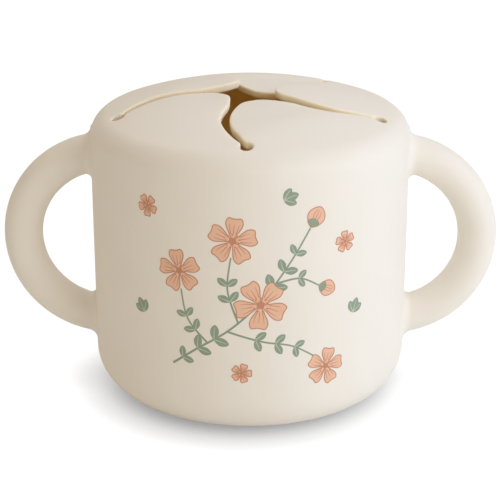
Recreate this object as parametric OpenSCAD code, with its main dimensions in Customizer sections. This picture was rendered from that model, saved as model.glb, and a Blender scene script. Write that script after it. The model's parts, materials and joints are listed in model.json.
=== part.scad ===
// Toddler snack cup: a round soft-silicone cup with two loop handles and a
// domed top that is slit into five pinwheel petals, so that a small hand can
// reach in while the snacks stay inside.
// Units are millimetres, +Z is up, and the origin is the middle of the base.
// The left and right handles lie along X, and -Y is the front.

/* [Cup] */
// Outside diameter of the wall
cup_d = 98; // [90:1:106]
// Height at the crown of the domed top
cup_h = 95.5; // [88:0.5:104]
// Thickness of the wall and of the domed top
wall_t = 2.4; // [2:0.1:3]
// Thickness of the floor
floor_t = 3; // [2.5:0.1:4]
// Radius of the rounded edge round the base
base_edge_r = 12.5; // [9:0.5:14]
// Radius of the rounded shoulder between the wall and the top
shoulder_r = 7.5; // [6:0.5:9]
// Radius of the dome that the top is part of
crown_r = 130; // [120:1:160]

/* [Petals] */
// Radius of the circle that the slits end on
slit_circle_r = 41.2; // [40:0.1:41.6]
// Diameter of the round hole that ends each slit
slit_end_d = 3.8; // [3.6:0.1:4.6]
// Turn of the whole slit pattern about the cup's axis, in degrees
slit_turn = -0.9; // [-36:0.1:36]
// Droop of the front right petal at rest, in degrees
droop_front_right = 4.5; // [0:0.5:8]
// Droop of the right petal at rest, in degrees
droop_right = 0.5; // [0:0.5:8]
// Droop of the back petal at rest, in degrees
droop_back = 8; // [0:0.5:8]
// Droop of the left petal at rest, in degrees
droop_left = 0.5; // [0:0.5:8]
// Droop of the front left petal at rest, in degrees
droop_front_left = 2; // [0:0.5:8]
// Gap that lets each petal's root turn clear of the top
root_gap = 0.3; // [0.25:0.05:0.4]

/* [Handles] */
// Thickness of the round handle
handle_d = 12; // [10:0.5:13]
// Radius of the handle's loop, to the middle of its thickness
loop_r = 27.2; // [25:0.1:29]
// Distance from the cup's axis to the middle of the loop
loop_x = 44.2; // [43:0.1:46]
// Height of the middle of the loop above the base
loop_z = 47.3; // [42:0.1:50]

/* [Hidden] */

cream = [0.93, 0.89, 0.82];
cream_petal = [0.90, 0.86, 0.79];
cream_handle = [0.88, 0.82, 0.73];

round_fn = 128;      // fineness of the rings and loops
fine_fn = 48;        // fineness of the small round holes and bars
cut_h = 24;          // height of the cuts that run right through the top
arc_steps = 10;      // straight steps along a rounded edge of the profile
crown_steps = 12;    // straight steps along the dome of the profile
spline_steps = 4;    // straight steps between two points of a petal's edge

cup_r = cup_d / 2;
crown_z = cup_h - crown_r;       // height of the middle of the dome's sphere
petal_count = 5;
petal_angle = 360 / petal_count;

// The shoulder's arc touches the wall and the dome, so its middle is as far
// from the dome's middle as the two radii differ.
shoulder_x = cup_r - shoulder_r;
shoulder_z = crown_z + sqrt(pow(crown_r - shoulder_r, 2) - pow(shoulder_x, 2));
shoulder_end = atan2(shoulder_z - crown_z, shoulder_x);

// The root of a petal is the chord between two neighbouring slit ends. The
// dome falls away towards the chord's ends, so the root turns about a
// straight line at the mean height of the dome's shell along the chord.
root_x = slit_circle_r * cos(petal_angle / 2);
root_half = slit_circle_r * sin(petal_angle / 2);
root_top = crown_height(root_x, crown_r);
root_low = crown_height(slit_circle_r - slit_end_d / 4, crown_r - wall_t);
root_z = (root_top + root_low) / 2;
root_r = (root_top - root_low) / 2 + 0.1;

// One petal's free edge, seen from above. It runs from the slit end in front
// of the cup's axis, round the lobe, and back along the next slit.
drawn_circle_r = 41.2;           // slit circle that these points were set out on
petal_edge = [[-0.6, -39.0], [-2.2, -35.6], [-4.3, -30.5], [-5.2, -25.0],
              [-4.8, -19.5], [-3.5, -14.5], [-1.5, -10.3], [3.6, -7.9],
              [9.1, -9.0], [13.4, -10.8], [17.4, -13.3], [22.6, -15.6],
              [28.0, -16.1], [33.5, -15.2], [37.2, -13.8]];

function crown_height(x, r) = crown_z + sqrt(r * r - x * x);

function arc(x, z, r, a0, a1, steps) =
    [for (i = [0:steps])
        let (a = a0 + (a1 - a0) * i / steps)
        [x + r * cos(a), z + r * sin(a)]];

// Point at share t between p1 and p2 of a curve through four points.
function curve_point(p0, p1, p2, p3, t) =
    ((2 * p1) + (p2 - p0) * t + (2 * p0 - 5 * p1 + 4 * p2 - p3) * t * t
     + (3 * p1 - p0 - 3 * p2 + p3) * t * t * t) / 2;

function smooth(points, steps) =
    let (last = len(points) - 1)
    [for (i = [0:last - 1])
        for (j = [0:(i == last - 1 ? steps : steps - 1)])
            curve_point(points[max(i - 1, 0)], points[i], points[i + 1],
                        points[min(i + 2, last)], j / steps)];

// Line of the dome from just inside the shoulder to radius x, for a skin that
// lies this deep under the outside.
function dome_line(x, depth) =
    let (r = crown_r - depth,
         a1 = acos(x / r),
         a0 = shoulder_end + (a1 - shoulder_end) / crown_steps)
    arc(0, crown_z, r, a0, a1, crown_steps - 1);

function reversed(points) = [for (i = [len(points) - 1:-1:0]) points[i]];

// Bowl-shaped floor, up to the top of its rounded edge.
module base_profile() {
    inner_r = base_edge_r - wall_t;
    polygon(concat(
        [[0, 0]],
        arc(cup_r - base_edge_r, base_edge_r, base_edge_r, -90, 0, arc_steps),
        arc(cup_r - base_edge_r, floor_t + inner_r, inner_r, 0, -90, arc_steps),
        [[0, floor_t]]));
}

module cup_base() {
    color(cream)
    rotate_extrude($fn = round_fn) base_profile();
}

module cup_wall() {
    low_in = floor_t + base_edge_r - wall_t;
    color(cream)
    rotate_extrude($fn = round_fn)
    polygon([[cup_r, base_edge_r], [cup_r, shoulder_z],
             [cup_r - wall_t, shoulder_z], [cup_r - wall_t, low_in]]);
}

// Shoulder and dome, as far in as the petals' roots.
module ring_blank() {
    inside_x = root_x - root_r - 1;
    rotate_extrude($fn = round_fn)
    polygon(concat(
        arc(shoulder_x, shoulder_z, shoulder_r, 0, shoulder_end, arc_steps),
        dome_line(inside_x, 0),
        reversed(dome_line(inside_x, wall_t)),
        arc(shoulder_x, shoulder_z, shoulder_r - wall_t, shoulder_end, 0, arc_steps)));
}

// Puts its children on petal number i, turned about the cup's axis.
module at_petal(i) {
    rotate([0, 0, slit_turn + petal_angle * i]) children();
}

// Round hole at the end of the slit in front of the axis.
module slit_end() {
    translate([0, -slit_circle_r, root_z - cut_h / 2])
    cylinder(d = slit_end_d, h = cut_h, $fn = fine_fn);
}

// Round bar along the root of the petal that follows the front slit.
module root_bar(r, half) {
    rotate([0, 0, petal_angle / 2 - 90])
    translate([root_x, 0, root_z])
    rotate([90, 0, 0])
    cylinder(r = r, h = 2 * half, center = true, $fn = fine_fn);
}

// Five-sided cut with its corners at radius r, in line with the slit ends.
module petal_window(r) {
    translate([0, 0, root_z - cut_h / 2])
    rotate([0, 0, -90])
    cylinder(r = r, h = cut_h, $fn = petal_count);
}

module top_ring() {
    color(cream)
    difference() {
        ring_blank();
        at_petal(0) petal_window(slit_circle_r);
        for (i = [0:petal_count - 1])
            at_petal(i) {
                slit_end();
                root_bar(root_r + root_gap, root_half);
            }
    }
}

// Plan of the petal that follows the front slit, closed along its root.
module petal_plan() {
    grow = slit_circle_r / drawn_circle_r;
    next_end = slit_circle_r * [sin(petal_angle), -cos(petal_angle)];
    polygon(concat([[0, -slit_circle_r]],
                   smooth(petal_edge * grow, spline_steps),
                   [next_end]));
}

// Thin piece of the dome that lies over the petal's plan, with the half of
// the root bar that reaches out past the chord.
module petal_blank() {
    root_overlap = 0.4;          // keeps the bar and the plan in one piece
    bar_half = root_half - slit_end_d / 2 - root_gap;
    difference() {
        intersection() {
            translate([0, 0, crown_z]) sphere(r = crown_r, $fn = round_fn);
            union() {
                translate([0, 0, root_z - cut_h / 2])
                linear_extrude(height = cut_h) petal_plan();
                difference() {
                    root_bar(root_r, bar_half);
                    petal_window(slit_circle_r - root_overlap);
                }
            }
        }
        translate([0, 0, crown_z]) sphere(r = crown_r - wall_t, $fn = round_fn);
        slit_end();
        rotate([0, 0, petal_angle]) slit_end();
    }
}

// Petal number i, drooping about its own root.
module petal(i, droop) {
    root_turn = petal_angle / 2 - 90;
    color(cream_petal)
    at_petal(i)
    rotate([0, 0, root_turn])
    translate([root_x, 0, root_z])
    rotate([0, -droop, 0])
    translate([-root_x, 0, -root_z])
    rotate([0, 0, -root_turn])
    petal_blank();
}

module petal_front_right() { petal(0, droop_front_right); }
module petal_right() { petal(1, droop_right); }
module petal_back() { petal(2, droop_back); }
module petal_left() { petal(3, droop_left); }
module petal_front_left() { petal(4, droop_front_left); }

// Loop handle on the side that side gives, cut to sit on the round wall.
module handle(side) {
    color(cream_handle)
    difference() {
        translate([side * loop_x, 0, loop_z])
        rotate([90, 0, 0])
        rotate_extrude($fn = round_fn)
        translate([loop_r, 0])
        circle(d = handle_d, $fn = fine_fn);
        cylinder(r = cup_r, h = cup_h, $fn = round_fn);
    }
}

module handle_left() { handle(-1); }
module handle_right() { handle(1); }

cup_base();
cup_wall();
top_ring();
petal_front_right();
petal_right();
petal_back();
petal_left();
petal_front_left();
handle_left();
handle_right();
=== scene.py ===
# %% [markdown]
# # A toddler's snack cup in soft silicone
# The cup is one moulding: a round wall, a rounded base, two loop handles and a
# domed top that is slit into five pinwheel petals. This notebook loads the
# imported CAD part, which stays as it is, and dresses it: smooth skins with
# rounded rims, petals that bend at their roots, a printed pattern, and light.

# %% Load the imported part
import json
import math

import bmesh
import bpy
import numpy as np
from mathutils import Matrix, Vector
from mathutils.geometry import delaunay_2d_cdt


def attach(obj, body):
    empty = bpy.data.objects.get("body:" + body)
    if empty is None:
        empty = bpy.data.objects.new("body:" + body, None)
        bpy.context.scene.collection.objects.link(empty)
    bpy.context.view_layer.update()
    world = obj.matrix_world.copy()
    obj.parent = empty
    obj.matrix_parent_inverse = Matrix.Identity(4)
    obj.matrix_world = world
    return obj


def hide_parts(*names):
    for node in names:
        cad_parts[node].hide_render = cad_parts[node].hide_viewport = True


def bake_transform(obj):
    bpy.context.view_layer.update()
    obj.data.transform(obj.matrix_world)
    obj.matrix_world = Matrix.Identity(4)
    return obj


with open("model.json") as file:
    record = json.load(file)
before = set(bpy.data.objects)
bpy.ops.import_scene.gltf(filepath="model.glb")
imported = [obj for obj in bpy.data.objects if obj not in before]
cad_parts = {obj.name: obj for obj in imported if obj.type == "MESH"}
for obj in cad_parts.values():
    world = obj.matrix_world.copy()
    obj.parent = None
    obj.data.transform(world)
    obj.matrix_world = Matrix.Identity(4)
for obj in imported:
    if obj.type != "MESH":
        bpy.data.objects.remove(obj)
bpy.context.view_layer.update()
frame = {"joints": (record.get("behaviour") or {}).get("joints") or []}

joints = {j["child"]: j for j in frame["joints"]}

# %% [markdown]
# ## Sizes
# Every length below is in millimetres, as a mould maker would write it, and is
# turned into Blender's metres only when a mesh is made. These are the sizes
# that the CAD part was drawn from, so the skins land where its solids are.

# %% Sizes of the moulding
MM = 0.001
CUP_R, CUP_H = 49.0, 95.5
WALL, FLOOR = 2.4, 3.0
BASE_EDGE_R, SHOULDER_R = 12.5, 7.5
# The top is part of a big sphere, and the shoulder's arc touches both it and
# the wall. Z is the height of an arc's middle, X its distance from the axis.
CROWN_R = 130.0
CROWN_Z = CUP_H - CROWN_R
SHOULDER_X = CUP_R - SHOULDER_R
SHOULDER_Z = CROWN_Z + math.sqrt((CROWN_R - SHOULDER_R) ** 2 - SHOULDER_X**2)
SHOULDER_END = math.atan2(SHOULDER_Z - CROWN_Z, SHOULDER_X)
# The five slits end in round holes, whose middles lie on one circle.
SLIT_R, HOLE_R = 41.2, 1.9
SLIT_TURN = math.radians(-0.9)
PETALS = 5
FIFTH = math.tau / PETALS
print("shoulder starts at height", round(SHOULDER_Z, 2), "mm")


# %% Height of the skin over a point of the plan
def dome_height(r, depth):
    """Height of the top's skin at radius r, for the skin at this depth under the outside."""
    shoulder = SHOULDER_R - depth
    tangent = SHOULDER_X + shoulder * math.cos(SHOULDER_END)
    on_dome = CROWN_Z + np.sqrt(np.maximum((CROWN_R - depth) ** 2 - r**2, 0))
    on_shoulder = SHOULDER_Z + np.sqrt(
        np.maximum(shoulder**2 - np.maximum(r - SHOULDER_X, 0) ** 2, 0)
    )
    return np.where(r <= tangent, on_dome, on_shoulder)


print("crown", float(dome_height(np.array(0.0), 0)), "mm")


# %% [markdown]
# ## One way to make every mesh
# Blender's modifiers could make most of these shapes. But the cup bends along
# seams, and two pieces look like one only if they share the same points there,
# so the points are worked out here. The helper below turns points and faces
# into an object, keeps edges crisp only at the seams, and stores how close
# each point is to a thin rim, which the silicone's material uses.


# %% Mesh helper
def make_piece(name, points, faces, materials, face_slots=None, sharp=(), rim=None):
    """A smooth-shaded object made of faces over these points, which are in mm."""
    mesh = bpy.data.meshes.new(name)
    mesh.from_pydata([tuple(p) for p in np.asarray(points) * MM], [], faces)
    for material in materials:
        mesh.materials.append(material)
    if face_slots is not None:
        mesh.polygons.foreach_set("material_index", face_slots)
    mesh.polygons.foreach_set("use_smooth", [True] * len(mesh.polygons))
    crisp = {tuple(sorted(pair)) for pair in sharp}
    for edge in mesh.edges:
        if tuple(sorted(edge.vertices)) in crisp:
            edge.use_edge_sharp = True
    if rim is not None:
        layer = mesh.attributes.new("rim", "FLOAT", "POINT")
        layer.data.foreach_set("value", np.asarray(rim, np.float32))
    work = bmesh.new()
    work.from_mesh(mesh)
    bmesh.ops.recalc_face_normals(work, faces=work.faces)
    work.to_mesh(mesh)
    work.free()
    piece = bpy.data.objects.new(name, mesh)
    bpy.context.scene.collection.objects.link(piece)
    print(name, len(mesh.vertices), "points", len(mesh.polygons), "faces")
    return piece


print("one mm is", MM, "m in every mesh")

# %% Flat helpers: distances and insides
NOTHING = 1e-12  # stands in for zero where a number is divided by


def polar(r, a):
    """The point of the plan at radius r and angle a, or many of them."""
    return np.stack([r * np.cos(a), r * np.sin(a)], -1)


def distance_to_line(points, line):
    """Least distance from each point to a line of straight pieces."""
    a, b = line[:-1], line[1:]
    ab = b - a
    t = ((points[:, None] - a) * ab).sum(-1) / np.maximum((ab**2).sum(-1), NOTHING)
    near = a + np.clip(t, 0, 1)[..., None] * ab
    return np.sqrt(((points[:, None] - near) ** 2).sum(-1)).min(1)


def inside(points, loop):
    """True for each point that lies inside a closed loop."""
    a, b = loop, np.roll(loop, -1, 0)
    x, y = points[:, None, 0], points[:, None, 1]
    spans = (a[:, 1] > y) != (b[:, 1] > y)
    rise = np.where(b[:, 1] == a[:, 1], NOTHING, b[:, 1] - a[:, 1])
    cuts = x < (b[:, 0] - a[:, 0]) * (y - a[:, 1]) / rise + a[:, 0]
    return (spans & cuts).sum(1) % 2 == 1


SQUARE = np.array([(0.0, 0.0), (1.0, 0.0), (1.0, 1.0), (0.0, 1.0)])
print("middle of a square is inside it:", bool(inside(np.array([(0.5, 0.5)]), SQUARE)[0]))

# %% Flat helper: triangles
SAME_POINT = 1e-7  # mm, two points closer than this are one
SLIVER = 1e-9  # mm2, twice the area under which a triangle is left out


def triangles(points, edges, keep):
    """Triangles over the points that keep every given edge, where keep(middles) is true."""
    flat = [Vector((float(x), float(y))) for x, y in points]
    made, _, faces, origin, _, _ = delaunay_2d_cdt(flat, edges, [], 0, SAME_POINT)
    if len(made) != len(points):
        print("note: triangulation has", len(made), "points for", len(points))
    back = [o[0] for o in origin]
    faces = np.array([[back[v] for v in f] for f in faces if len(f) == 3])
    corners = points[faces]
    side1, side2 = corners[:, 1] - corners[:, 0], corners[:, 2] - corners[:, 0]
    twice_area = side1[:, 0] * side2[:, 1] - side1[:, 1] * side2[:, 0]
    faces[twice_area < 0] = faces[twice_area < 0][:, ::-1]
    good = keep(corners.mean(1)) & (abs(twice_area) > SLIVER)
    return faces[good]


halves = triangles(SQUARE, [(0, 1), (1, 2), (2, 3), (3, 0)], lambda m: inside(m, SQUARE))
print("a square is cut into", len(halves), "triangles")


# %% [markdown]
# ## Rounded rims
# Moulded silicone has no sharp rim: each slit and hole has a small radius. A
# Bevel modifier would round them, but not evenly where a rim crosses a seam.
# So in the plan, the radius is a set of lines that run beside the free edge.
# Each line is a little further in and a little higher, and together they make
# the rounding. All pieces use the same set, so the rims run on across seams.

# %% Steps of the rounded rim: how far in, and how far down
RIM_R = 0.55
RIM_STEPS = [
    (RIM_R * (1 - math.cos(a)), RIM_R * (1 - math.sin(a)))
    for a in np.radians([0, 22.5, 45, 67.5, 90])
]
RIM_DROPS = [drop for _, drop in RIM_STEPS]
SEAM_POINTS = 46  # along the flat part of a petal's root


def seam_turn(reach):
    """Angle along the slit circle from a hole's middle to a point at this reach from it."""
    return 2 * math.asin(reach / (2 * SLIT_R))


def seam_angles(start, end):
    """Angles of the seam's points from one hole to the next, rim steps at both ends."""
    near = [seam_turn(HOLE_R + inward) for inward, _ in RIM_STEPS]
    middle = np.linspace(start + near[-1], end - near[-1], SEAM_POINTS)[1:-1]
    return [start + t for t in near], list(middle), [end - t for t in near[::-1]]


print("rim radius", RIM_R, "mm in", len(RIM_STEPS), "steps")


# %% [markdown]
# ## Materials
# The cup is food-grade silicone rubber, pressed in a steel mould whose walls
# were bead blasted. That gives a matte skin with a broad, weak gloss, a very
# fine grain, and rims that look warmer because light passes through them.
# Light under the whole skin would draw each seam as a line, because it stops
# where a piece ends, so the shader lets light in only near the free rims, and
# paints a glow there: a paler, warmer colour.


# %% Node helper and colour helper
def add(tree, kind, inputs=None, **settings):
    """Adds one shader node, with its settings, its values and its links."""
    made = tree.nodes.new(kind)
    for key, value in settings.items():
        setattr(made, key, value)
    for key, value in (inputs or {}).items():
        if isinstance(value, bpy.types.NodeSocket):
            tree.links.new(value, made.inputs[key])
        else:
            made.inputs[key].default_value = value
    return made


def linear(colour):
    """Turns an sRGB hex colour into linear values, with the sRGB standard's own numbers."""
    parts = [int(colour[i : i + 2], 16) / 255 for i in (1, 3, 5)]
    return [c / 12.92 if c <= 0.04045 else ((c + 0.055) / 1.055) ** 2.4 for c in parts] + [1]


def new_material(name):
    """A node material that holds no nodes yet, and its tree."""
    material = bpy.data.materials.new(name)
    material.use_nodes = True
    material.node_tree.nodes.clear()
    return material, material.node_tree


print("mid grey in linear values", [round(c, 3) for c in linear("#808080")])


# %% Moulded silicone
# Pigment is never mixed quite evenly: it makes faint clouds about 14 mm across.
CLOUD = 14
# Handling leaves the skin slightly smoother in patches about 6 mm across.
PATCH, ROUGHNESS_SPREAD = 6, 0.06
# Blasting leaves a grain of about 0.05 mm, drawn at 0.35 mm so that it shows.
GRAIN, GRAIN_DEPTH = 0.35, 0.05
# Silicone rubber's index of refraction, and how far light travels in it, in mm.
RUBBER_IOR, LIGHT_REACH = 1.41, 1.3


def moulded_silicone(name, colour, shade, glow, roughness):
    """Matte rubber with faint mottling, a blasted grain, and a painted warm glow with some real
    light under the skin at thin rims.
    """
    material, tree = new_material(name)
    place = add(tree, "ShaderNodeTexCoord").outputs["Object"]
    clouds = add(
        tree, "ShaderNodeTexNoise", {"Vector": place, "Scale": 1 / (CLOUD * MM), "Detail": 3}
    )
    mixed = add(
        tree, "ShaderNodeMix", {0: clouds.outputs["Fac"], 6: linear(colour), 7: linear(shade)},
        data_type="RGBA",
    )
    # Painted glow: near a thin rim the colour is mixed towards a paler, warmer one, which stands in
    # for light that enters near the rim and comes out of it.
    rim = add(tree, "ShaderNodeAttribute", attribute_name="rim")
    painted_rim_glow = add(
        tree, "ShaderNodeMix", {0: rim.outputs["Fac"], 6: mixed.outputs[2], 7: linear(glow)},
        data_type="RGBA",
    )
    patches = add(
        tree, "ShaderNodeTexNoise", {"Vector": place, "Scale": 1 / (PATCH * MM), "Detail": 4}
    )
    rough = add(
        tree, "ShaderNodeMapRange",
        {
            "Value": patches.outputs["Fac"],
            "To Min": roughness - ROUGHNESS_SPREAD,
            "To Max": roughness + ROUGHNESS_SPREAD,
        },
    )
    grain = add(
        tree, "ShaderNodeTexNoise", {"Vector": place, "Scale": 1 / (GRAIN * MM), "Detail": 2}
    )
    bump = add(
        tree, "ShaderNodeBump",
        {"Height": grain.outputs["Fac"], "Strength": 0.12, "Distance": GRAIN_DEPTH * MM},
    )
    surface = add(
        tree, "ShaderNodeBsdfPrincipled",
        {
            "Base Color": painted_rim_glow.outputs[2],
            "Roughness": rough.outputs["Result"],
            "Normal": bump.outputs["Normal"],
            "IOR": RUBBER_IOR,
            "Subsurface Weight": rim.outputs["Fac"],
            "Subsurface Radius": (1.0, 1.0, 1.0),
            "Subsurface Scale": LIGHT_REACH * MM,
        },
    )
    add(tree, "ShaderNodeOutputMaterial", {"Surface": surface.outputs["BSDF"]})
    return material


print("silicone's grain is drawn", GRAIN, "mm wide")

# %% The two silicones
silicone = moulded_silicone("moulded_silicone_cream", "#F4EFE6", "#EFEAE0", "#F8EBD3", 0.55)
# The inside only shows through the slits, lit by what has passed through the wall or
# bounced many times, so its cream is painted a little more amber: painted light, not the silicone's
# own colour.
silicone_inside_painted_amber = moulded_silicone(
    "moulded_silicone_inside_painted_amber", "#EFE0C6", "#EBDABD", "#EFE0C6", 0.65
)
print("materials", silicone.name, silicone_inside_painted_amber.name)


# %% [markdown]
# ## The cup's skin
# The wall, shoulder and base are one revolved shape, which a Screw modifier
# could make. Only the narrow band that holds the five slit ends isn't round.
# So that band is triangulated, its outer circle has the same points as the
# revolved part's first ring, and the whole skin is one closed mesh.

# %% Outer side of a slit end
RING_R = 45.2  # the band ends here, and the revolved part starts
AROUND = 240
NOTCH_POINTS = 25
angles = np.arange(AROUND) * math.tau / AROUND
hole_angles = [SLIT_TURN - math.pi / 2 + FIFTH * k for k in range(PETALS)]


def notch(angle, reach):
    """The outer side of a slit end, as an arc at this reach from the hole's middle."""
    middle = polar(SLIT_R, angle)
    ends = [polar(SLIT_R, angle + s * seam_turn(reach)) - middle for s in (-1, 1)]
    first, last = (math.atan2(e[1], e[0]) for e in ends)
    if last < first:
        last += math.tau
    return middle + polar(reach, np.linspace(first, last, NOTCH_POINTS))


print("slit ends at", [round(math.degrees(a), 1) for a in hole_angles], "degrees")

# %% Points of the band along its seams and slit ends
ring_points, ring_drop, inner_loop, ring_edges, seam_pairs = [], [], [], [], []


def place_point(xy, drop):
    """Keeps one point of the band, and how far the rounding lowers it."""
    ring_points.append(xy)
    ring_drop.append(drop)
    return len(ring_points) - 1


for start in hole_angles:
    near, middle, far = seam_angles(start, start + FIFTH)
    drops = RIM_DROPS + [0] * len(middle) + RIM_DROPS[::-1]
    seam = [place_point(polar(SLIT_R, a), drop) for a, drop in zip(near + middle + far, drops)]
    seam_pairs += list(zip(seam[:-1], seam[1:]))
    inner_loop.append(seam)
notch_lines = []
for k in range(PETALS):
    before, after = inner_loop[k], inner_loop[(k + 1) % PETALS]
    for step, (inward, drop) in enumerate(RIM_STEPS):
        line = notch(hole_angles[k] + FIFTH, HOLE_R + inward)
        run = [before[-1 - step]]
        run += [place_point(xy, drop) for xy in line[1:-1]]
        run += [after[step]]
        if step == 0:
            notch_lines.append(run)
        else:
            ring_edges += list(zip(run[:-1], run[1:]))
print("points along the seams and slit ends:", len(ring_points))

# %% Triangles of the band
# Rows of points fill the band. Each row is turned by its own share of a step,
# so that no two rows line up, and it keeps clear of the rounded rims.
ROWS = (41.9, 42.7, 43.5, SHOULDER_X + SHOULDER_R * math.cos(SHOULDER_END), 44.65)
ROW_CLEAR = RIM_R + 0.35
ring_loop = []
for k in range(PETALS):
    ring_loop += inner_loop[k] + notch_lines[k][1:-1]
ring_edges += list(zip(ring_loop, ring_loop[1:] + ring_loop[:1]))
loop_xy = np.array([ring_points[i] for i in ring_loop])
closed_xy = np.vstack([loop_xy, loop_xy[:1]])
for r in ROWS:
    row = polar(r, angles + (r * 7 % 1) * math.tau / AROUND)
    for xy in row[(distance_to_line(row, closed_xy) > ROW_CLEAR) & ~inside(row, loop_xy)]:
        place_point(xy, 0)
outer_ring = [place_point(xy, 0) for xy in polar(RING_R, angles)]
ring_edges += list(zip(outer_ring, outer_ring[1:] + outer_ring[:1]))
ring_xy, ring_drop = np.array(ring_points), np.array(ring_drop)
outer_xy = ring_xy[outer_ring]
ring_faces = triangles(
    ring_xy, ring_edges, lambda m: inside(m, outer_xy) & ~inside(m, loop_xy)
)
print("band", len(ring_xy), "points", len(ring_faces), "triangles")

# %% Two skins of a slit sheet, joined round its rims
# How far from a free rim the painted glow and the light under the skin reach, and how they fade
# towards a seam.
RIM_GLOW, SEAM_FADE = 1.6, 1.8  # mm


def two_skins(xy, drop):
    """Points of the outer skin, then of the inner skin, straight below them."""
    r = np.hypot(xy[:, 0], xy[:, 1])
    top = dome_height(r, 0) - drop
    low = dome_height(r, WALL) + drop
    return np.vstack([np.column_stack([xy, top]), np.column_stack([xy, low])])


def nearness(xy, line):
    """1 on a free rim, fading to 0 away from it and towards the seam between two pieces."""
    to_rim = distance_to_line(xy, line) / RIM_GLOW
    to_seam = abs(np.hypot(*xy.T) - SLIT_R) / SEAM_FADE
    return np.clip(1 - to_rim, 0, 1) ** 2 * np.clip(to_seam, 0, 1)


def skin_faces(triples, count, slot_below):
    """Faces of both skins over count points, and the material slot of each face."""
    upper = [list(map(int, f)) for f in triples]
    lower = [[int(v) + count for v in f[::-1]] for f in triples]
    return upper + lower, [0] * len(upper) + [slot_below] * len(lower)


top_gap = two_skins(np.zeros((1, 2)), 0)[:, 2]
print("the top is", round(float(top_gap[0] - top_gap[1]), 2), "mm thick at the crown")


# %% Profile of the revolved part
FLOOR_RADII = (30, 20, 10, 3)


def arc(x, z, r, first, last, steps):
    """Points of the profile on an arc, from one angle in degrees to another."""
    turns = np.linspace(math.radians(first), math.radians(last), steps + 1)
    return [(x + r * math.cos(a), z + r * math.sin(a)) for a in turns]


start_out = math.degrees(math.acos((RING_R - SHOULDER_X) / SHOULDER_R))
start_in = math.degrees(math.acos((RING_R - SHOULDER_X) / (SHOULDER_R - WALL)))
inner_edge_r = BASE_EDGE_R - WALL
edge_x, inner_edge_z = CUP_R - BASE_EDGE_R, FLOOR + inner_edge_r
outside = arc(SHOULDER_X, SHOULDER_Z, SHOULDER_R, start_out, 0, 14)[1:]
outside += [(CUP_R, z) for z in np.linspace(SHOULDER_Z, BASE_EDGE_R, 12)[1:-1]]
outside += arc(edge_x, BASE_EDGE_R, BASE_EDGE_R, 0, -90, 18)
outside += [(r, 0) for r in FLOOR_RADII]
inner_side = arc(SHOULDER_X, SHOULDER_Z, SHOULDER_R - WALL, start_in, 0, 8)[1:]
inner_side += [(CUP_R - WALL, z) for z in np.linspace(SHOULDER_Z, inner_edge_z, 8)[1:-1]]
inner_side += arc(edge_x, inner_edge_z, inner_edge_r, 0, -90, 12)
inner_side += [(r, FLOOR) for r in FLOOR_RADII]
print("profile", len(outside), "points outside and", len(inner_side), "inside")

# %% Faces of the cup's skin
points = list(two_skins(ring_xy, ring_drop))
below = len(ring_xy)
faces, slots = skin_faces(ring_faces, below, 1)
for i, j in zip(ring_loop, ring_loop[1:] + ring_loop[:1]):
    faces.append([i, j, j + below, i + below])
    slots.append(0)
for profile, upper, slot in (
    (outside, outer_ring, 0),
    (inner_side, [v + below for v in outer_ring], 1),
):
    for r, z in profile:
        lower = list(range(len(points), len(points) + AROUND))
        points += [(r * math.cos(a), r * math.sin(a), z) for a in angles]
        for i in range(AROUND):
            j = (i + 1) % AROUND
            faces.append([lower[i], lower[j], upper[j], upper[i]])
            slots.append(slot)
        upper = lower
    centre = len(points)
    points.append((0, 0, profile[-1][1]))
    for i in range(AROUND):
        faces.append([centre, upper[(i + 1) % AROUND], upper[i]])
        slots.append(slot)
print("cup", len(points), "points", len(faces), "faces")

# %% The cup's piece
seam_edges = [pair for i, j in seam_pairs for pair in ((i, j), (i + below, j + below))]
seam_edges += [(run[s], run[s] + below) for run in inner_loop for s in (0, -1)]
free_rims = [np.array([ring_points[i] for i in run]) for run in notch_lines]
ring_rim = np.max([nearness(ring_xy, line) for line in free_rims], axis=0)
cup_rim = np.concatenate([ring_rim, ring_rim, np.zeros(len(points) - 2 * below)])
cup_skin = make_piece(
    "cup_skin", points, faces, [silicone, silicone_inside_painted_amber], slots, seam_edges, cup_rim
)
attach(cup_skin, "cup")
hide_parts("cup_base", "cup_wall", "top_ring")

# %% [markdown]
# ## The petals
# All five petals have the same plan. A Boolean could cut them from the dome,
# but would leave uneven triangles along rims that have to look soft. So the
# plan is drawn first. Its free edge is a smooth curve through a few points:
# down one slit, round the lobe and back along the next slit. The points are
# set out on the petal that follows the front slit, and turned for the rest.

# %% Curve helpers
def smooth_curve(control, steps, closed=False):
    """A curve that passes through every control point."""
    if closed:
        padded = np.vstack([control[-1:], control, control[:2]])
    else:
        padded = np.vstack([control[:1], control, control[-1:]])
    made = []
    for p0, p1, p2, p3 in zip(padded, padded[1:], padded[2:], padded[3:]):
        for t in np.arange(steps) / steps:
            made.append(
                (2 * p1 + (p2 - p0) * t + (2 * p0 - 5 * p1 + 4 * p2 - p3) * t**2
                 + (3 * p1 - p0 - 3 * p2 + p3) * t**3) / 2
            )
    if not closed:
        made.append(control[-1])
    return np.array(made)


def even_steps(line, spacing):
    """The same line, with its points about this far apart."""
    lengths = np.concatenate([[0], np.cumsum(np.hypot(*np.diff(line, axis=0).T))])
    count = max(2, round(lengths[-1] / spacing) + 1)
    wanted = np.linspace(0, lengths[-1], count)
    return np.column_stack([np.interp(wanted, lengths, line[:, i]) for i in (0, 1)])


print("a curve over a square has", len(smooth_curve(SQUARE, 4, closed=True)), "points")

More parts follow.
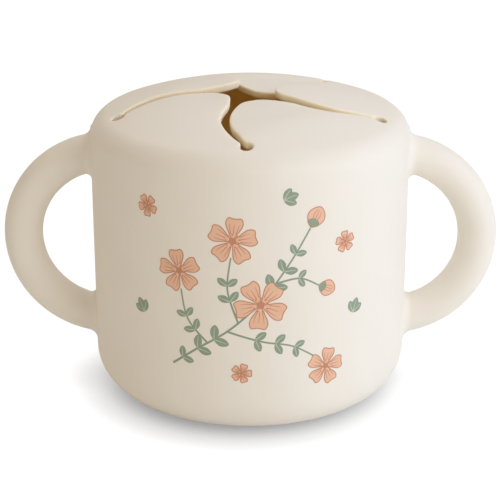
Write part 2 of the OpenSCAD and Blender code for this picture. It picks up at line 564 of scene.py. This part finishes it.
# %% Free edge of one petal
EDGE_POINTS = np.array([
    (-0.6, -39.0), (-2.2, -35.6), (-4.3, -30.5), (-5.2, -25.0), (-4.8, -19.5),
    (-3.5, -14.5), (-1.5, -10.3), (3.6, -7.9), (9.1, -9.0), (13.4, -10.8),
    (17.4, -13.3), (22.6, -15.6), (28.0, -16.1), (33.5, -15.2), (37.2, -13.8),
])
START, END = -math.pi / 2, -math.pi / 2 + FIFTH
EDGE_STEP = 0.6  # mm between the edge's points
CORNER = 0.85  # where a slit opens into its hole, the corner is rounded this far
CORNER_POINTS, ARC_POINTS = 9, 24


def rounded_corner(line_in, line_out, reach):
    """Joins two lines that meet at a corner, with the corner rounded over this reach."""
    corner = line_in[-1]
    kept_in = line_in[np.hypot(*(line_in - corner).T) > reach]
    kept_out = line_out[np.hypot(*(line_out - corner).T) > reach]
    t = np.linspace(0, 1, CORNER_POINTS)[1:-1, None]
    p0, p2 = kept_in[-1], kept_out[0]
    bend = (1 - t) ** 2 * p0 + 2 * (1 - t) * t * corner + t**2 * p2
    return np.vstack([kept_in, bend, kept_out])


def hole_arc(angle, toward, corner):
    """A petal's share of a slit end, from the seam to the corner of the slit."""
    middle = polar(SLIT_R, angle)
    on_seam = polar(SLIT_R, angle + toward * seam_turn(HOLE_R)) - middle
    first = math.atan2(on_seam[1], on_seam[0])
    to_corner = corner - middle
    last = math.atan2(to_corner[1], to_corner[0])
    turn = (last - first + math.pi) % math.tau - math.pi
    return middle + polar(HOLE_R, np.linspace(first, first + turn, ARC_POINTS))


slit_edge = even_steps(smooth_curve(EDGE_POINTS, 12), EDGE_STEP)
start_arc = hole_arc(START, 1, slit_edge[0])
end_arc = hole_arc(END, -1, slit_edge[-1])
free_edge = rounded_corner(end_arc, slit_edge[::-1], CORNER)
free_edge = rounded_corner(free_edge, start_arc[::-1], CORNER)
print("free edge", len(free_edge), "points")

# %% Rounded rim of one petal
along = np.gradient(free_edge, axis=0)
along /= np.hypot(*along.T)[:, None]
to_inside = np.column_stack([-along[:, 1], along[:, 0]])
near, middle, far = seam_angles(START, END)
plan = [polar(SLIT_R, a) for a in near + middle + far]
plan_drop = RIM_DROPS + [0] * len(middle) + RIM_DROPS[::-1]
seam_count = len(plan)
plan_edges, petal_loop = [], list(range(seam_count))
for step, (inward, drop) in enumerate(RIM_STEPS):
    line = free_edge + to_inside * inward
    run = [seam_count - 1 - step]
    for xy in line[1:-1]:
        run.append(len(plan))
        plan.append(xy)
        plan_drop.append(drop)
    run.append(step)
    plan_edges += list(zip(run[:-1], run[1:]))
    if step == 0:
        petal_loop += run[1:-1]
plan_edges += list(zip(range(seam_count - 1), range(1, seam_count)))
print("petal's rim and seam", len(plan), "points")

# %% Triangles of one petal
# The plan is filled with rows of points: how far apart they are, and the least
# and most distance from the edge. They are finer near it, where light turns.
FILL = ((0.9, RIM_R + 0.55, 2.6), (1.5, 2.6, 99))
ROW_SHARE = 0.866  # height of an even triangle, as a share of its side
LOW_X, HIGH_X, LOW_Y, HIGH_Y = -10, 45, -45, 0
loop_xy = np.array([plan[i] for i in petal_loop])
closed_xy = np.vstack([loop_xy, loop_xy[:1]])
rows = []
for spacing, least, most in FILL:
    x, y = np.meshgrid(
        np.arange(LOW_X, HIGH_X, spacing), np.arange(LOW_Y, HIGH_Y, spacing * ROW_SHARE)
    )
    x[1::2] += spacing / 2
    grid = np.column_stack([x.ravel(), y.ravel()])
    reach = distance_to_line(grid, closed_xy)
    rows.append(grid[inside(grid, loop_xy) & (reach > least) & (reach <= most)])
grid = np.vstack(rows)
plan_xy = np.vstack([np.array(plan), grid])
plan_drop = np.concatenate([plan_drop, np.zeros(len(grid))])
petal_faces = triangles(plan_xy, plan_edges, lambda m: inside(m, loop_xy))
print("petal", len(plan_xy), "points", len(petal_faces), "triangles")

# %% [markdown]
# ## Bending silicone
# A petal has no hinge. It bends along a soft strip at its root, and at rest
# some petals have settled a few degrees lower than others. A bone with painted
# weights could bend it. Here a bend is put into the rest shape: a point near
# the root turns a little, and one past the strip turns by the whole droop.

# %% Droop and settle
BEND = 12.0  # mm, width of the strip that bends
FREE = 4.0  # mm from the slit circle at which a petal is free to shift


def drooped(points, pivot, axis, inward, droop):
    """Turns points about the root line, more and more over the bending strip."""
    t = np.clip((points - pivot) @ inward / BEND, 0, 1)
    turn = droop * t * t * (3 - 2 * t)
    rel = points - pivot
    c, s = np.cos(turn)[:, None], np.sin(turn)[:, None]
    return pivot + rel * c + np.cross(axis, rel) * s + axis * (rel @ axis)[:, None] * (1 - c)


def settled(points, place, shift, reach):
    """Shifts a petal near one place of the plan, fading to nothing at the slit circle."""
    xy = points[:, :2]
    near = np.exp(-((xy - place) ** 2).sum(1) / reach**2)
    free = np.clip((SLIT_R - np.hypot(*xy.T)) / FREE, 0, 1)
    return points + np.outer(near * free, shift)


UP = np.array([0.0, 0.0, 1.0])
lowered = drooped(np.array([(50.0, 0, 0)]), 0 * UP, UP, np.array([1.0, 0, 0]), math.radians(5))
print("5 degrees of droop move a point 50 mm away by", round(float(lowered[0, 1]), 1), "mm")

# %% How the five petals rest
# Soft petals never settle quite alike. Each line gives a petal, a place in
# the plan, how far the petal has moved there, and how far that reaches, in mm.
SETTLED = [
    ("petal_front_right", (33.5, -15.7), (0.1, 1.6, 0), 7.0),
    ("petal_right", (9.0, -2.0), (-0.8, -1.0, 0), 5.0),
    ("petal_left", (-4.7, 9.3), (1.2, -0.1, 0), 6.0),
    ("petal_left", (-15.0, 0.0), (0, 0, -0.6), 8.0),
    ("petal_front_left", (-12.0, -3.0), (0, 0, -0.6), 7.0),
]
DROOPS = {
    "petal_front_right": 4.5, "petal_right": 0.5, "petal_back": 8.0,
    "petal_left": 0.5, "petal_front_left": 2.0,
}
print("droops in degrees", DROOPS)

# %% Place and droop the five petals
flat_skins = two_skins(plan_xy, plan_drop)
petal_rim = nearness(plan_xy, free_edge)
below = len(plan_xy)
faces, _ = skin_faces(petal_faces, below, 0)
faces += [
    [i + below, j + below, j, i] for i, j in zip(petal_loop, petal_loop[1:] + petal_loop[:1])
]
crisp = [(i + s, i + 1 + s) for i in range(seam_count - 1) for s in (0, below)]
crisp += [(i, i + below) for i in (0, seam_count - 1)]
for k, (body, droop) in enumerate(DROOPS.items()):
    turn = SLIT_TURN + FIFTH * k
    c, s = math.cos(turn), math.sin(turn)
    spin = np.array([(c, -s, 0), (s, c, 0), (0, 0, 1)])
    pivot = np.array(joints[body]["pos_m"]) / MM
    axis = np.array(joints[body]["axis"], float)
    inward = np.cross(axis, UP)
    if inward @ pivot > 0:
        inward = -inward
    placed = drooped(flat_skins @ spin.T, pivot, axis, inward, math.radians(droop))
    for moved, place, shift, reach in SETTLED:
        if moved == body:
            placed = settled(placed, place, shift, reach)
    petal = make_piece(
        "soft_" + body, placed, faces, [silicone], None, crisp, np.tile(petal_rim, 2)
    )
    start, end = pivot * MM, (pivot + inward * BEND) * MM
    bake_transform(petal)
    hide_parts(body)

# %% [markdown]
# ## The handles
# Each handle is a round bar of solid silicone on a circle, with a small fillet
# where it meets the wall. A round-bevelled curve would give the bar, but not
# the fillet. So the surface is worked out point by point: for each place round
# the bar, the fillet starts on the wall and ends on the bar.

# %% The bar, and where it meets the wall
BAR_R, LOOP_R, LOOP_X, LOOP_Z, FILLET = 6.0, 27.2, 44.2, 47.3, 2.6
ROUND_BAR, ALONG_BAR, FILLET_POINTS = 56, 84, 10
IN_WALL = -1.2  # the bar starts this far behind the wall's outside


def bar_point(theta, radius, phi):
    """The point at angle theta round the bar and angle phi round the loop."""
    reach = LOOP_R + radius * math.cos(theta)
    x, z = LOOP_X + reach * math.cos(phi), LOOP_Z + reach * math.sin(phi)
    return (x, radius * math.sin(theta), z)


def wall_phi(theta, radius, off_wall):
    """Angle round the loop at which this line of the bar is this far off the wall."""
    y = radius * math.sin(theta)
    x = math.sqrt((CUP_R + off_wall) ** 2 - y * y)
    return math.acos((x - LOOP_X) / (LOOP_R + radius * math.cos(theta)))


print("handles reach", round(bar_point(0, BAR_R, 0)[0], 1), "mm from the axis")


# %% Handles
def handle(name, node, side):
    """One loop handle, on the side that side gives: -1 is left, 1 is right."""
    thetas = [math.tau * i / ROUND_BAR for i in range(ROUND_BAR)]
    ends = [(BAR_R + FILLET, IN_WALL), (BAR_R + FILLET, 0.0)]
    for a in np.radians(np.linspace(0, 90, FILLET_POINTS))[1:]:
        ends.append((BAR_R + FILLET * (1 - math.sin(a)), FILLET * (1 - math.cos(a))))
    rings = [[bar_point(t, r, wall_phi(t, r, off)) for t in thetas] for r, off in ends]
    limits = [wall_phi(t, BAR_R, FILLET) for t in thetas]
    for share in np.linspace(1, -1, ALONG_BAR + 1)[1:-1]:
        rings.append([bar_point(t, BAR_R, share * limit) for t, limit in zip(thetas, limits)])
    rings += [[bar_point(t, r, -wall_phi(t, r, off)) for t in thetas] for r, off in ends[::-1]]
    points = [p for ring in rings for p in ring]
    faces = []
    for a in range(len(rings) - 1):
        for i in range(ROUND_BAR):
            j = (i + 1) % ROUND_BAR
            u, v = a * ROUND_BAR, (a + 1) * ROUND_BAR
            faces.append([u + i, u + j, v + j, v + i])
    for ring in (0, len(rings) - 1):
        points.append(tuple(np.mean(rings[ring], axis=0)))
        u = ring * ROUND_BAR
        faces += [[u + i, u + (i + 1) % ROUND_BAR, len(points) - 1] for i in range(ROUND_BAR)]
    points = np.array(points) * (side, 1, 1)
    piece = make_piece(name, points, faces, [silicone])
    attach(piece, "cup")
    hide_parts(node)


handle("soft_handle_left", "handle_left", -1)
handle("soft_handle_right", "handle_right", 1)

# %% [markdown]
# ## The print
# The wall carries a pad-printed spray of flowers in silicone ink, and the
# pattern here is a plain one: open five-petalled blossoms and round leaves on
# curved stems. A mask in the wall's material could paint it, but thin shapes
# keep crisp edges from near by, and each ink gets its own material. Each shape
# is drawn flat, in millimetres along and up the wall, and then wrapped round
# it. Its back lies inside the wall, so that no gap shows under the ink.

# %% Ink on the wall
# Real ink is about 0.03 mm thick. Where shapes overlap, each lies a little
# higher than the one under it: the height of each over the wall, in mm.
LIFT = {"stem": 0.03, "leaf": 0.04, "petal": 0.05, "leaf vein": 0.055, "line": 0.06, "eye": 0.07}
INK_BACK = -0.15  # how far behind the wall's outside the back of the ink lies


def wrap(u, z, lift):
    """A point of the flat drawing, laid on the wall at this height over it."""
    a = u / CUP_R
    return ((CUP_R + lift) * math.sin(a), -(CUP_R + lift) * math.cos(a), z)


print("ink stands at most", max(LIFT.values()), "mm proud of the wall")

# %% Filled shapes
# An outline's points are at most this far apart, and it has at least so many.
OUTLINE_STEP, OUTLINE_POINTS = 0.45, 12
# The points that fill it are this far apart, and keep this clear of its edge.
FILL_STEP, FILL_CLEAR = 1.1, 0.35


def filled(outline, lift):
    """Points and faces of one filled shape."""
    closed = np.vstack([outline, outline[:1]])
    length = np.hypot(*np.diff(closed, axis=0).T).sum()
    loop = even_steps(closed, min(OUTLINE_STEP, length / OUTLINE_POINTS))[:-1]
    x, z = np.meshgrid(*(np.arange(*ends, FILL_STEP) for ends in zip(loop.min(0), loop.max(0))))
    grid = np.column_stack([x.ravel(), z.ravel()])
    closed = np.vstack([loop, loop[:1]])
    if len(grid):
        grid = grid[inside(grid, loop) & (distance_to_line(grid, closed) > FILL_CLEAR)]
    xy = np.vstack([loop, grid])
    count = len(loop)
    edges = [(i, (i + 1) % count) for i in range(count)]
    tris = triangles(xy, edges, lambda m: inside(m, loop))
    points = [wrap(u, z, lift) for u, z in xy] + [wrap(u, z, INK_BACK) for u, z in xy]
    below = len(xy)
    faces = [list(map(int, f)) for f in tris]
    faces += [[int(v) + below for v in f[::-1]] for f in tris]
    faces += [[i, j, j + below, i + below] for i, j in edges]
    return points, faces


print("a square of ink, 1 mm wide, has", len(filled(SQUARE, LIFT["leaf"])[1]), "faces")

# %% Brush strokes, and drawings put in their place
STROKE_STEP = 0.4


def stroke(line, width, end_width, lift):
    """Points and faces of one brush stroke that tapers to its end."""
    line = even_steps(np.asarray(line, float), STROKE_STEP)
    along = np.gradient(line, axis=0)
    along /= np.hypot(*along.T)[:, None]
    side = np.column_stack([-along[:, 1], along[:, 0]])
    half = np.linspace(width, end_width, len(line))[:, None] / 2
    left, right = line + side * half, line - side * half
    points, faces = [], []
    for a, b in zip(left, right):
        points += [wrap(*a, lift), wrap(*b, lift), wrap(*b, INK_BACK), wrap(*a, INK_BACK)]
    for n in range(len(line) - 1):
        for i in range(4):
            j = (i + 1) % 4
            faces.append([4 * n + i, 4 * n + j, 4 * n + 4 + j, 4 * n + 4 + i])
    last = 4 * (len(line) - 1)
    faces += [[3, 2, 1, 0], [last, last + 1, last + 2, last + 3]]
    return points, faces


def turned(shape, at, turn, size):
    """A unit drawing, scaled, turned and moved to its place."""
    c, s = math.cos(turn), math.sin(turn)
    shape = np.asarray(shape, float) * size
    x, z = shape[:, 0] * c - shape[:, 1] * s, shape[:, 0] * s + shape[:, 1] * c
    return np.column_stack([x, z]) + at


print("a stroke 4 mm long has", len(stroke([(0, 0), (4, 0)], 1, 1, LIFT["line"])[1]), "faces")

# %% Drawing of a blossom
# Each drawing is one unit long, and the strokes' widths are in mm.
PETAL_SHAPE = smooth_curve(np.array([
    (0.08, 0), (0.38, 0.2), (0.7, 0.34), (0.95, 0.27), (0.93, 0.07), (0.93, -0.07),
    (0.95, -0.27), (0.7, -0.34), (0.38, -0.2),
]), 5, closed=True)
ROUND = polar(1.0, np.linspace(0, math.tau, 24, endpoint=False))
DOTS = 9
inks = {"coral": [], "terracotta": [], "sage": [], "pale_sage": []}


def ink_stroke(ink, line, width, end_width):
    """One brush stroke of a drawing, kept with its ink."""
    inks[ink].append(stroke(line, width, end_width, LIFT["line"]))


def blossom(at, radius, turn):
    """Five petals with an outline and three veins each, and an eye ringed with dots."""
    for k in range(5):
        a = turn + math.tau / 5 * k
        petal = turned(PETAL_SHAPE, at, a, radius)
        inks["coral"].append(filled(petal, LIFT["petal"]))
        ink_stroke("terracotta", np.vstack([petal, petal[:2]]), 0.3, 0.3)
        for lean in (-0.2, 0, 0.2):
            vein = turned([(0.3, lean * 0.5), (0.5, lean * 0.8), (0.72, lean)], at, a, radius)
            ink_stroke("terracotta", vein, 0.28, 0.12)
    inks["terracotta"].append(filled(turned(ROUND, at, 0, radius * 0.15), LIFT["eye"]))
    for k in range(DOTS):
        dot = at + polar(radius * 0.27, turn + math.tau * k / DOTS)
        inks["terracotta"].append(filled(turned(ROUND, dot, 0, radius * 0.038), LIFT["eye"]))


print("a blossom's petal is drawn with", len(PETAL_SHAPE), "points")

# %% Drawings of a bud, a leaf and a stem
LEAF_SHAPE = smooth_curve(np.array([
    (0, 0), (0.22, 0.2), (0.52, 0.29), (0.82, 0.2), (1, 0), (0.82, -0.2),
    (0.52, -0.29), (0.22, -0.2),
]), 5, closed=True)
LEAF_LEAN = math.radians(52)  # of a leaf, away from its stem


def bud(at, size, turn):
    """A half-open flower with three veins, on a slim green cup."""
    outline = turned(LEAF_SHAPE * (1, 1.5), at, turn, size)
    inks["coral"].append(filled(outline, LIFT["petal"]))
    ink_stroke("terracotta", np.vstack([outline, outline[:2]]), 0.28, 0.28)
    for lean in (-0.16, 0, 0.16):
        vein = turned([(0.35, lean * 0.6), (0.6, lean), (0.85, lean * 0.6)], at, turn, size)
        ink_stroke("terracotta", vein, 0.26, 0.12)
    inks["sage"].append(filled(turned(LEAF_SHAPE * (0.42, 1.1), at, turn, size), LIFT["line"]))


def leaf(at, length, turn):
    """A leaf with one pale vein."""
    inks["sage"].append(filled(turned(LEAF_SHAPE, at, turn, length), LIFT["leaf"]))
    vein = turned([(0.05, 0), (0.5, 0.02), (0.86, 0)], at, turn, length)
    inks["pale_sage"].append(stroke(vein, 0.3, 0.14, LIFT["leaf vein"]))


def stem(control, width=0.62, leaves=(), length=4.6):
    """A curved stem, with leaf pairs at the given shares of its way."""
    line = even_steps(smooth_curve(np.array(control, float), 10), STROKE_STEP)
    inks["sage"].append(stroke(line, width, width * 0.7, LIFT["stem"]))
    for share, scale in leaves:
        i = min(int(share * (len(line) - 1)), len(line) - 2)
        heading = math.atan2(*(line[i + 1] - line[i])[::-1])
        for side in (-1, 1):
            leaf(line[i], length * scale, heading + side * LEAF_LEAN)


print("a leaf is drawn with", len(LEAF_SHAPE), "points")

# %% Lay out the spray
# Places are in mm along the wall from the front, and up from the base.
stem([(-23, 23), (-15, 29), (-5, 36), (4, 45), (12, 56), (18, 66)], 0.7,
     [(0.07, 0.8), (0.17, 0.95), (0.27, 1.0), (0.66, 1.0), (0.76, 0.9), (0.86, 0.75)])
stem([(-12, 31), (-18, 38), (-20, 47)], leaves=[(0.3, 0.8), (0.55, 0.75)])
stem([(-3, 38), (-6, 48), (-5, 58)], leaves=[(0.35, 0.85), (0.58, 0.8)])
stem([(-6, 35), (4, 32), (13, 30), (21, 25)],
     leaves=[(0.3, 0.85), (0.5, 0.85), (0.7, 0.75)])
stem([(8, 50), (15, 51), (21, 48)], leaves=[(0.5, 0.7)])
blossom((-20.5, 52.5), 6.6, 0.5)
blossom((-4.5, 63.0), 7.2, 0.2)
blossom((3.5, 43.5), 7.8, 0.85)
blossom((23.5, 22.0), 5.9, 0.1)
bud((18.2, 66.2), 6.4, math.radians(62))
bud((21.0, 48.0), 5.6, math.radians(-24))
blossom((29.5, 60), 3.3, 0.4)
blossom((-31, 70.5), 3.4, 0.9)
blossom((-2, 22), 3.1, 0.0)
for at, heading in (((33, 37), 70), ((-33, 37), 120), ((10, 75), 20)):
    for side in (-1, 1):
        leaf(at, 4.0, math.radians(heading + side * 38))
    leaf(at, 4.6, math.radians(heading))
print({ink: len(shapes) for ink, shapes in inks.items()})


# %% [markdown]
# Silicone ink is matte and a little uneven: the pad leaves slightly more ink in
# some places, so the colour shifts over a few millimetres. One plain colour
# would look like a sticker, so each ink mixes two shades that lie close.

# %% Ink material
BLOTCH = 2.5  # mm, width of the patches with more ink
# The ink dries over the wall's grain of about 0.05 mm, drawn at 0.3 mm.
INK_GRAIN, INK_GRAIN_DEPTH = 0.3, 0.03
INK_ROUGHNESS, INK_IOR = 0.6, 1.45


def pad_printed_ink(name, colour, shade):
    """Matte ink with a blotchy colour and a faint grain."""
    material, tree = new_material(name)
    place = add(tree, "ShaderNodeTexCoord").outputs["Object"]
    blotch = add(
        tree, "ShaderNodeTexNoise", {"Vector": place, "Scale": 1 / (BLOTCH * MM), "Detail": 4}
    )
    mixed = add(
        tree, "ShaderNodeMix", {0: blotch.outputs["Fac"], 6: linear(colour), 7: linear(shade)},
        data_type="RGBA",
    )
    grain = add(
        tree, "ShaderNodeTexNoise", {"Vector": place, "Scale": 1 / (INK_GRAIN * MM), "Detail": 2}
    )
    bump = add(
        tree, "ShaderNodeBump",
        {"Height": grain.outputs["Fac"], "Strength": 0.1, "Distance": INK_GRAIN_DEPTH * MM},
    )
    surface = add(
        tree, "ShaderNodeBsdfPrincipled",
        {
            "Base Color": mixed.outputs[2],
            "Roughness": INK_ROUGHNESS,
            "Normal": bump.outputs["Normal"],
            "IOR": INK_IOR,
        },
    )
    add(tree, "ShaderNodeOutputMaterial", {"Surface": surface.outputs["BSDF"]})
    return material


# %% The four inks' pieces
INK_COLOURS = {
    "coral": ("#F0C6AA", "#EAB99C"),
    "terracotta": ("#CE9478", "#C5886C"),
    "sage": ("#98A893", "#8B9D88"),
    "pale_sage": ("#CBD1BF", "#C1CAB5"),
}
for ink, shapes in inks.items():
    points, faces = [], []
    for shape_points, shape_faces in shapes:
        faces += [[v + len(points) for v in f] for f in shape_faces]
        points += shape_points
    material = pad_printed_ink("pad_printed_" + ink, *INK_COLOURS[ink])
    piece = make_piece("print_" + ink, points, faces, [material])
    piece.data.polygons.foreach_set("use_smooth", [False] * len(piece.data.polygons))
    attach(piece, "cup")

# %% [markdown]
# ## Floor, light and camera
# The cup stands on a white paper sweep. Two big soft lamps at the right stand
# for a window, a neutral one in front and a cooler one beside the cup. Two
# weak ones hang overhead, and the pale, warm room fills in from all sides. To
# the camera the paper glows studio white, with a painted shadow where the cup
# stands close over it. Strong lamps could burn the paper white too, but they
# would bleach the cup with it.

# %% Paper
FIBRES = 1.5  # mm, width of the paper's faint clouds
floor_material, tree = new_material("white_paper_sweep")
place = add(tree, "ShaderNodeTexCoord").outputs["Object"]
fibres = add(
    tree, "ShaderNodeTexNoise", {"Vector": place, "Scale": 1 / (FIBRES * MM), "Detail": 3}
)
tone = add(
    tree, "ShaderNodeMix", {0: fibres.outputs["Fac"], 6: linear("#FCFCFB"), 7: linear("#F9F9F8")},
    data_type="RGBA",
)
paper = add(tree, "ShaderNodeBsdfDiffuse", {"Color": tone.outputs[2]})
print("paper's clouds are", FIBRES, "mm wide")

# %% How the camera sees the paper
# To the camera the sweep is a studio white: nearly all of it glows with the
# strength of white, and a painted shadow dims the glow where the cup shuts off
# the sky within 20 mm. The painted shadow is made to fall to the front and left,
# so the sky that counts leans to the back and right. A little of the real light
# on the paper is added as well.
# FULLY_OPEN is the share of open sky from which the paper is at its whitest.
SKY_REACH, FULLY_OPEN, PAINTED_SHADOW_DARKEST, WHITEST, REAL_LIGHT = 20, 0.68, 0.27, 0.95, 0.13
# The direction in which the painted shadow's sky leans.
lean = add(tree, "ShaderNodeCombineXYZ", {"X": 0.25, "Y": 0.3, "Z": 0.92})
open_sky = add(
    tree, "ShaderNodeAmbientOcclusion",
    {"Distance": SKY_REACH * MM, "Normal": lean.outputs["Vector"]}, samples=16,
)
white = add(
    tree, "ShaderNodeMapRange",
    {
        "Value": open_sky.outputs["AO"],
        "From Max": FULLY_OPEN, "To Min": PAINTED_SHADOW_DARKEST, "To Max": WHITEST,
    },
)
# The glow's strength is the painted shadow: the strength of white in the open, less near the cup.
glow = add(tree, "ShaderNodeEmission", {"Strength": white.outputs["Result"]})
faint = add(tree, "ShaderNodeBsdfDiffuse", {"Color": (REAL_LIGHT, REAL_LIGHT, REAL_LIGHT, 1)})
paper_with_painted_shadow = add(
    tree, "ShaderNodeAddShader", {0: glow.outputs["Emission"], 1: faint.outputs["BSDF"]}
)
seen = add(tree, "ShaderNodeLightPath")
sweep = add(
    tree, "ShaderNodeMixShader",
    {0: seen.outputs["Is Camera Ray"], 1: paper.outputs["BSDF"], 2: paper_with_painted_shadow.outputs["Shader"]},
)
add(tree, "ShaderNodeOutputMaterial", {"Surface": sweep.outputs["Shader"]})
print("paper material has", len(tree.nodes), "nodes")

# %% Floor
HALF = 4.0  # metres
floor_mesh = bpy.data.meshes.new("floor")
floor_corners = [(x * HALF, y * HALF, 0) for x, y in ((-1, -1), (1, -1), (1, 1), (-1, 1))]
floor_mesh.from_pydata(floor_corners, [], [(0, 1, 2, 3)])
floor_mesh.materials.append(floor_material)
floor = bpy.data.objects.new("floor", floor_mesh)
bpy.context.scene.collection.objects.link(floor)
print("floor", 2 * HALF, "m wide")

# %% Room
# The room lights the cup with its own pale colour, and looks white to the
# camera, and through anything that is clear.
ROOM_STRENGTH = 0.48
world = bpy.data.worlds.new("pale_room")
bpy.context.scene.world = world
world.use_nodes = True
tree = world.node_tree
tree.nodes.clear()
seen = add(tree, "ShaderNodeLightPath")
direct = add(
    tree, "ShaderNodeMath",
    {0: seen.outputs["Is Camera Ray"], 1: seen.outputs["Is Transmission Ray"]}, operation="MAXIMUM",
)
room = add(tree, "ShaderNodeBackground", {"Color": linear("#FFEBCF"), "Strength": ROOM_STRENGTH})
white = add(tree, "ShaderNodeBackground", {"Color": linear("#FFFFFF"), "Strength": 1.0})
shown = add(
    tree, "ShaderNodeMixShader",
    {0: direct.outputs[0], 1: room.outputs["Background"], 2: white.outputs["Background"]},
)
add(tree, "ShaderNodeOutputWorld", {"Surface": shown.outputs["Shader"]})
print("room's strength", ROOM_STRENGTH)

# %% Lamps
LAMP_DISTANCE, LAMP_SIZE = 1.3, 0.9  # metres
LAMP_AIM = Vector((0, 0, 0.05))


def toward(azimuth, elevation):
    """Direction from the cup, in degrees. Azimuth 0 is in front, 90 on the right."""
    a, e = math.radians(azimuth), math.radians(elevation)
    return Vector((math.sin(a) * math.cos(e), -math.cos(a) * math.cos(e), math.sin(e)))


def soft_lamp(name, azimuth, elevation, power, colour):
    """A square lamp that faces the cup."""
    data = bpy.data.lights.new(name, "AREA")
    data.size, data.energy, data.color = LAMP_SIZE, power, linear(colour)[:3]
    lamp = bpy.data.objects.new(name, data)
    lamp.location = toward(azimuth, elevation) * LAMP_DISTANCE
    aim = LAMP_AIM - lamp.location
    lamp.rotation_euler = aim.to_track_quat("-Z", "Y").to_euler()
    bpy.context.scene.collection.objects.link(lamp)
    print(name, [round(x, 2) for x in lamp.location])


soft_lamp("window_front_right", 48, 25, 6.2, "#F5FBFF")
soft_lamp("window_right", 82, 22, 4.4, "#A8CCFF")
soft_lamp("overhead_front", 20, 78, 1.6, "#E9F2FF")
soft_lamp("overhead_back", 180, 55, 3.5, "#E4EEFF")

# %% [markdown]
# Thin silicone lets a little light through, and what gets inside is amber. A
# surface shader stops that light at the skin, so a very weak amber lamp in the
# middle of the cup gives it back. The camera doesn't see the lamp itself.

# %% Light inside the cup
INNER_POWER, INNER_RADIUS, INNER_HEIGHT = 0.005, 0.02, 0.045  # watts, metres, metres
inner_data = bpy.data.lights.new("light_through_the_wall", "POINT")
inner_data.energy, inner_data.shadow_soft_size = INNER_POWER, INNER_RADIUS
inner_data.color = (1.0, 0.5, 0.0)
inner = bpy.data.objects.new("light_through_the_wall", inner_data)
inner.location = (0, 0, INNER_HEIGHT)
inner.visible_camera = False
bpy.context.scene.collection.objects.link(inner)
print("inner lamp", INNER_POWER, "W at height", INNER_HEIGHT, "m")

# %% Camera
# These were fitted to the cup's outline in the photograph, which is 500 pixels
# wide: where the camera is, in metres and degrees, and its focal length and
# upward shift in pixels.
CAMERA = {"distance": 0.48515, "elevation": 20.54, "azimuth": 0.55, "aim": 0.04366}
FRAME, FOCAL, SHIFT, SENSOR = 500, 1533.37, -5.16, 36
back = toward(CAMERA["azimuth"], CAMERA["elevation"])
camera_data = bpy.data.cameras.new("camera")
camera_data.sensor_width = SENSOR
camera_data.lens = FOCAL * SENSOR / FRAME
camera_data.shift_y = SHIFT / FRAME
camera_data.clip_start, camera_data.clip_end = 0.01, 20
camera = bpy.data.objects.new("camera", camera_data)
camera.location = Vector((0, 0, CAMERA["aim"])) + back * CAMERA["distance"]
camera.rotation_euler = (-back).to_track_quat("-Z", "Y").to_euler()
bpy.context.scene.collection.objects.link(camera)
bpy.context.scene.camera = camera
bpy.context.scene.view_settings.view_transform = "Standard"
print("lens", round(camera_data.lens, 1), "mm")
